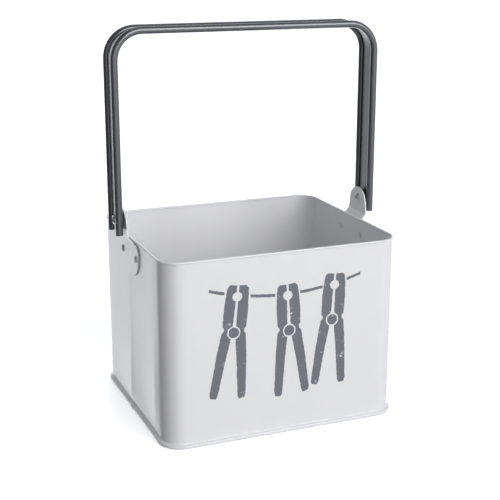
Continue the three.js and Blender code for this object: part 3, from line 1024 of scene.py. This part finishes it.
# %% Group: dust and specks
DRIFT_PERIOD = 12 * MM
SPECK_SPACING = 11 * MM
settled_dust, entry, result = new_group("settled_dust", {"Amount": 0.5}, ["Dust", "Specks"])
place = object_place(settled_dust)
split = add_node(settled_dust, "SeparateXYZ")
feed(settled_dust, (add_node(settled_dust, "NewGeometry"), "Normal"), split, "Vector")
facing_up = spread(settled_dust, (split, "Z"), 0.55, 1)
drift = noise(settled_dust, place, DRIFT_PERIOD, detail=5, roughness=0.6)
drifted = spread(settled_dust, drift, 0.35, 0.75)
dust = calculate(settled_dust, "MULTIPLY", facing_up, drifted)
amount = calculate(settled_dust, "MULTIPLY", dust, (entry, "Amount"), clamp=True)
feed(settled_dust, amount, result, "Dust")
cells = add_node(settled_dust, "TexVoronoi", feature="F1")
feed(settled_dust, 1 / SPECK_SPACING, cells, "Scale")
feed(settled_dust, place, cells, "Vector")
specks = spread(settled_dust, (cells, "Distance"), 0.02, 0.035, 1, 0)
feed(settled_dust, specks, result, "Specks")
print(settled_dust.name, "built")

# %% [markdown]
# Each material is one Principled shader. A list of layers is mixed over the base colour, each with
# its own mask. Roughness follows a mask between two values, and a Bump node turns the height into
# small tilts of the normal.

# %% A helper for materials
MIX_FACTOR = 0
MIX_UNDER = 6
MIX_OVER = 7
MIX_RESULT = 2


class Finish:
    """A material with its own shader, to which masks and heights are joined."""

    def __init__(self, name, colour):
        self.material = bpy.data.materials.new(name)
        self.material.use_nodes = True
        self.tree = self.material.node_tree
        self.shader = self.tree.nodes["Principled BSDF"]
        self.shader.inputs["Base Color"].default_value = (*colour, 1)
        self.colour = None

    def effect(self, group, **values):
        node = add_node(self.tree, "Group", node_tree=group)
        for label, value in values.items():
            feed(self.tree, value, node, label.replace("_", " "))
        return node

    def paint_over(self, mask, colour, share=1.0):
        """Mixes a colour over what is there, by a mask that is a pair of node and output."""
        mix = add_node(self.tree, "Mix", data_type="RGBA")
        feed(self.tree, calculate(self.tree, "MULTIPLY", mask, share), mix, MIX_FACTOR)
        below = self.colour or self.shader.inputs["Base Color"].default_value
        feed(self.tree, below, mix, MIX_UNDER)
        mix.inputs[MIX_OVER].default_value = (*colour, 1)
        self.colour = (mix, MIX_RESULT)
        feed(self.tree, self.colour, self.shader, "Base Color")

    def gloss(self, mask, low, high):
        feed(self.tree, spread(self.tree, mask, 0, 1, low, high), self.shader, "Roughness")

    def bump(self, height, depth):
        node = add_node(self.tree, "Bump")
        feed(self.tree, depth, node, "Distance")
        feed(self.tree, height, node, "Height")
        feed(self.tree, (node, "Normal"), self.shader, "Normal")

    def metallic(self, share):
        feed(self.tree, share, self.shader, "Metallic")

    def dress(self, *pieces):
        for piece in pieces:
            piece.data.materials.clear()
            piece.data.materials.append(self.material)
        print(self.material.name, "on:", [piece.name for piece in pieces])


print("the Finish helper is ready")

# %% [markdown]
# ## Powder coat on the body
#
# A pale satin coat, very slightly blue. Its tone drifts by about two parts in a hundred, and on
# the rim, the stamped edges and the seam the coat is a little thinner, so the grey of the steel
# shows through.

# %% Material: pale powder coat
COAT = (0.80, 0.80, 0.815)
COAT_SHADE = (0.755, 0.755, 0.775)
STEEL_THROUGH = (0.52, 0.53, 0.55)
DUST = (0.62, 0.61, 0.58)


def lay_powder_coat(name):
    finish = Finish(name, COAT)
    skin = finish.effect(coat_skin)
    worn = finish.effect(edge_wear, Threshold=0.57, Amount=0.5)
    dust = finish.effect(settled_dust, Amount=0.5)
    finish.paint_over((skin, "Cloud"), COAT_SHADE, 0.5)
    finish.paint_over((worn, "Mask"), STEEL_THROUGH, 0.5)
    finish.paint_over((dust, "Dust"), DUST, 0.3)
    finish.paint_over((dust, "Specks"), DUST, 0.2)
    return finish, skin


powder_coat, skin = lay_powder_coat("pale_powder_coat")
powder_coat.gloss((skin, "Cloud"), 0.245, 0.265)
powder_coat.bump((skin, "Height"), 0.006 * MM)
powder_coat.dress(body, pan, ear, ear_left)

# %% [markdown]
# ## Enamel on the handle
#
# Dark grey enamel with fine metal flake in it, so the rolls show narrow streaks of light. Hands
# have rubbed its edges a little brighter.

# %% Material: dark enamel
ENAMEL = (0.145, 0.148, 0.158)
ENAMEL_SHADE = (0.12, 0.123, 0.133)
ENAMEL_WORN = (0.28, 0.285, 0.30)
enamel = Finish("dark_enamel", ENAMEL)
skin = enamel.effect(coat_skin, Fine_Share=0.2)
worn = enamel.effect(edge_wear, Threshold=0.6, Amount=0.7)
dust = enamel.effect(settled_dust, Amount=0.35)
enamel.paint_over((skin, "Cloud"), ENAMEL_SHADE, 0.6)
enamel.paint_over((worn, "Mask"), ENAMEL_WORN, 0.5)
enamel.paint_over((dust, "Dust"), DUST, 0.05)
enamel.gloss((skin, "Cloud"), 0.2, 0.27)
enamel.bump((skin, "Height"), 0.003 * MM)
enamel.metallic(0.6)
enamel.dress(handle)

# %% [markdown]
# ## Rivet steel
#
# The rivets are plated steel that has gone dull. A fine grain runs in all directions, dark tarnish
# lies in patches and the rubbed edges are brighter.

# %% Material: rivet steel
STEEL = (0.46, 0.465, 0.48)
STEEL_TARNISH = (0.25, 0.25, 0.26)
STEEL_WORN = (0.66, 0.66, 0.67)
TARNISH_PERIOD = 1.6 * MM
steel = Finish("rivet_steel", STEEL)
skin = steel.effect(coat_skin, Fine_Share=1.0)
worn = steel.effect(edge_wear, Threshold=0.55, Amount=0.8)
tarnish = noise(steel.tree, object_place(steel.tree), TARNISH_PERIOD, detail=5, roughness=0.65)
tarnished = spread(steel.tree, tarnish, 0.42, 0.68)
steel.paint_over(tarnished, STEEL_TARNISH, 0.6)
steel.paint_over((worn, "Mask"), STEEL_WORN, 0.7)
steel.gloss(tarnished, 0.26, 0.45)
steel.bump((skin, "Height"), 0.008 * MM)
steel.metallic(1)
steel.dress(pivot, pivot_left)

# %% [markdown]
# The ear rivets were hammered cold, so their skin is coarser and duller. The shader is only half
# metal: they stay an even grey all round and mirror nothing clearly.

# %% Material: dull rivet steel
DULL_STEEL = (0.74, 0.742, 0.75)
DULL_SHADE = (0.58, 0.582, 0.59)
DULL_WORN = (0.8, 0.8, 0.81)
dull = Finish("dull_rivet_steel", DULL_STEEL)
skin = dull.effect(coat_skin, Fine_Share=1.4)
worn = dull.effect(edge_wear, Threshold=0.57, Amount=0.6)
dull.paint_over((skin, "Cloud"), DULL_SHADE, 0.8)
dull.paint_over((worn, "Mask"), DULL_WORN, 0.6)
dull.gloss((skin, "Cloud"), 0.5, 0.6)
dull.bump((skin, "Height"), 0.015 * MM)
dull.metallic(0.5)
dull.dress(*ear_rivets.values())

# %% [markdown]
# ## Spacer plastic
#
# A grey moulded ring, matt with a faint grain, darker where grease from the pivot has crept in.

# %% Material: grey plastic
PLASTIC = (0.20, 0.20, 0.205)
PLASTIC_GREASE = (0.13, 0.13, 0.135)
PLASTIC_WORN = (0.34, 0.34, 0.34)
plastic = Finish("spacer_plastic", PLASTIC)
skin = plastic.effect(coat_skin, Fine_Share=1.0)
worn = plastic.effect(edge_wear, Threshold=0.56, Amount=0.6)
plastic.paint_over((skin, "Cloud"), PLASTIC_GREASE, 0.7)
plastic.paint_over((worn, "Mask"), PLASTIC_WORN, 0.5)
plastic.gloss((skin, "Cloud"), 0.45, 0.6)
plastic.bump((skin, "Height"), 0.015 * MM)
plastic.dress(spacer, spacer_left)

# %% [markdown]
# ## Worn ink
#
# The print looks old on purpose: the coat shows through it in specks, scratches and rubbed
# patches. The ink piece starts from the powder coat, and ink is mixed over it where the wear mask
# leaves it.

# %% Group: worn print
RUBBED_PERIOD = 7 * MM
FLECK_PERIOD = 1.1 * MM
FLECK_SHARE = 0.55
INK_FADE = 0.03
worn_print, entry, result = new_group("worn_print", {"Wear": 0.5}, ["Ink"])
place = object_place(worn_print)
rubbed = noise(worn_print, place, RUBBED_PERIOD, detail=6, roughness=0.72)
fleck = noise(worn_print, place, FLECK_PERIOD, detail=4, roughness=0.7)
small_fleck = calculate(worn_print, "MULTIPLY", fleck, FLECK_SHARE)
total = calculate(worn_print, "ADD", rubbed, small_fleck)
limit = spread(worn_print, (entry, "Wear"), 0, 1, 0.98, 0.62)
full = calculate(worn_print, "ADD", limit, INK_FADE)
bare = spread(worn_print, total, limit, full)
kept = calculate(worn_print, "SUBTRACT", 1.0, bare, clamp=True)
feed(worn_print, kept, result, "Ink")
print(worn_print.name, "built")

# %% Material: printed ink
INK = (0.125, 0.135, 0.16)
printed, skin = lay_powder_coat("printed_ink")
ink_left = printed.effect(worn_print, Wear=0.16)
printed.paint_over((ink_left, "Ink"), INK, 0.97)
printed.gloss((ink_left, "Ink"), 0.4, 0.5)
printed.bump((skin, "Height"), 0.010 * MM)
printed.dress(ink)

# %% [markdown]
# ## Studio
#
# The caddy stands on a white table in front of a white backdrop. The main light is a large soft
# one on the right of the camera, which makes the front the lightest wall. The left wall faces
# away from it and is lit by the backdrop, which it also mirrors at a low angle. A tall narrow lamp
# on that side adds a little. The table is kept out of what gloss mirrors, so its edge leaves no
# line in the paint. The camera sees it whiter than the bounced light does, which keeps the foot
# of the walls from glowing.

# %% Floor
FLOOR_SIZE = 6
TABLE_ROUGHNESS = 0.4
TABLE_MIRROR = 0.25
TABLE_IN_BOUNCE = 0.42
TABLE_IN_CAMERA = 0.9
TABLE_LIFT = 0.55
deselect_everything()
bpy.ops.mesh.primitive_grid_add(size=FLOOR_SIZE, x_subdivisions=8, y_subdivisions=8,
                                location=(0, 0, 0))
floor = bpy.context.object
floor.name = "floor"
floor_material = bpy.data.materials.new("white_table")
floor_material.use_nodes = True
tree = floor_material.node_tree
table = tree.nodes["Principled BSDF"]
feed(tree, TABLE_ROUGHNESS, table, "Roughness")
feed(tree, TABLE_MIRROR, table, "Specular IOR Level")
path = add_node(tree, "LightPath")
seen = calculate(tree, "MAXIMUM", (path, "Is Camera Ray"), (path, "Is Transmission Ray"))
feed(tree, spread(tree, seen, 0, 1, TABLE_IN_BOUNCE, TABLE_IN_CAMERA), table, "Base Color")
lift = add_node(tree, "Emission")
lift.inputs["Color"].default_value = (1, 1, 1, 1)
feed(tree, calculate(tree, "MULTIPLY", seen, TABLE_LIFT), lift, "Strength")
lifted = add_node(tree, "AddShader")
feed(tree, (table, "BSDF"), lifted, 0)
feed(tree, (lift, "Emission"), lifted, 1)
feed(tree, (lifted, "Shader"), tree.nodes["Material Output"], "Surface")
floor.data.materials.append(floor_material)
floor.visible_glossy = False
floor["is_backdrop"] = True
print("floor is", FLOOR_SIZE, "m wide")

# %% Lamps


def soft_lamp(name, place, aim, size, power):
    """A rectangular area lamp turned toward the aim."""
    data = bpy.data.lights.new(name, "AREA")
    data.shape = "RECTANGLE"
    data.size = size[0]
    data.size_y = size[1]
    data.energy = power
    lamp = bpy.data.objects.new(name, data)
    lamp.location = place
    lamp.rotation_euler = (Vector(aim) - Vector(place)).to_track_quat("-Z", "Y").to_euler()
    bpy.context.scene.collection.objects.link(lamp)


soft_lamp("key", place=(0.9, -2.45, 1.25), aim=(0, 0, 0.08), size=(2.4, 2.0), power=71)
soft_lamp("left_strip", place=(-1.35, -1.55, 0.55), aim=(0, 0, 0.15), size=(0.12, 1.3), power=2.6)
print("lamps:", [item.name for item in bpy.data.lights])

# %% [markdown]
# The room round the table is the world. What lights is a backdrop behind the caddy. What gloss
# mirrors is set apart from it, ray by ray: a bright backdrop at the back, a dark part of the room
# on the left, which draws the dark band down the rounded front corner, and the white table for
# steep low rays at the back. A camera ray that hits nothing sees plain white.

# %% World
ROOM_COLOUR = (0.94, 0.955, 1, 1)
TO_BACK = (0, 1, 0)
TO_GLOSS_BACK = (0.3, 0.954, 0)
TO_DARK_SIDE = (-0.995, 0.1, 0)
WHITE_FOR_CAMERA = 1.1
world = bpy.data.worlds.new("white_studio")
bpy.context.scene.world = world
world.use_nodes = True
tree = world.node_tree
background = tree.nodes["Background"]
background.inputs["Color"].default_value = ROOM_COLOUR
split = add_node(tree, "SeparateXYZ")
feed(tree, (add_node(tree, "TexCoord"), "Generated"), split, "Vector")
height = (split, "Z")
level = add_node(tree, "CombineXYZ")
feed(tree, (split, "X"), level, "X")
feed(tree, (split, "Y"), level, "Y")
heading = add_node(tree, "VectorMath", operation="NORMALIZE")
feed(tree, (level, "Vector"), heading, 0)


def turned_to(direction):
    """How far a ray is turned toward a level direction, from minus one to one."""
    node = add_node(tree, "VectorMath", operation="DOT_PRODUCT")
    feed(tree, (heading, "Vector"), node, 0)
    node.inputs[1].default_value = direction
    return node, "Value"


backdrop = spread(tree, turned_to(TO_BACK), 0.70, 0.90, 0.18, 1.2)
gloss_back = turned_to(TO_GLOSS_BACK)
behind = spread(tree, gloss_back, 0.55, 0.92, 0.05, 2.5)
around = spread(tree, turned_to(TO_DARK_SIDE), 0.3, 0.6, 0.9, 0.1)
walls = calculate(tree, "MAXIMUM", behind, around)
below_top = spread(tree, height, 0.15, 0.45, 1, 0.3)
walls = calculate(tree, "MULTIPLY", walls, below_top)
near_table = spread(tree, height, -0.45, -0.7, 0, 3)
at_back = spread(tree, gloss_back, 0.2, 0.5, 0, 1)
table_glow = calculate(tree, "MULTIPLY", near_table, at_back)
mirrored = calculate(tree, "MAXIMUM", walls, table_glow)
path = add_node(tree, "LightPath")
in_gloss = calculate(tree, "MULTIPLY", mirrored, (path, "Is Glossy Ray"))
in_camera = calculate(tree, "MULTIPLY", (path, "Is Camera Ray"), WHITE_FOR_CAMERA)
not_gloss = calculate(tree, "SUBTRACT", 1, (path, "Is Glossy Ray"))
in_diffuse = calculate(tree, "MULTIPLY", backdrop, not_gloss)
lit = calculate(tree, "MAXIMUM", in_diffuse, in_gloss)
feed(tree, calculate(tree, "MAXIMUM", lit, in_camera), background, "Strength")
print("world:", world.name)

# %% [markdown]
# ## Colour and sizes
#
# The Standard view transform shows a colour about as it is written. The last cell prints the size
# of the imported model beside the size of the dressed one.

# %% View transform and finish
bpy.context.scene.view_settings.view_transform = "Standard"
dressed_box = [list(corner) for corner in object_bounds()]
for label, box in (("packed", cad_box), ("dressed", dressed_box)):
    print(label, [round((high - low) / MM, 2) for low, high in zip(*box)])
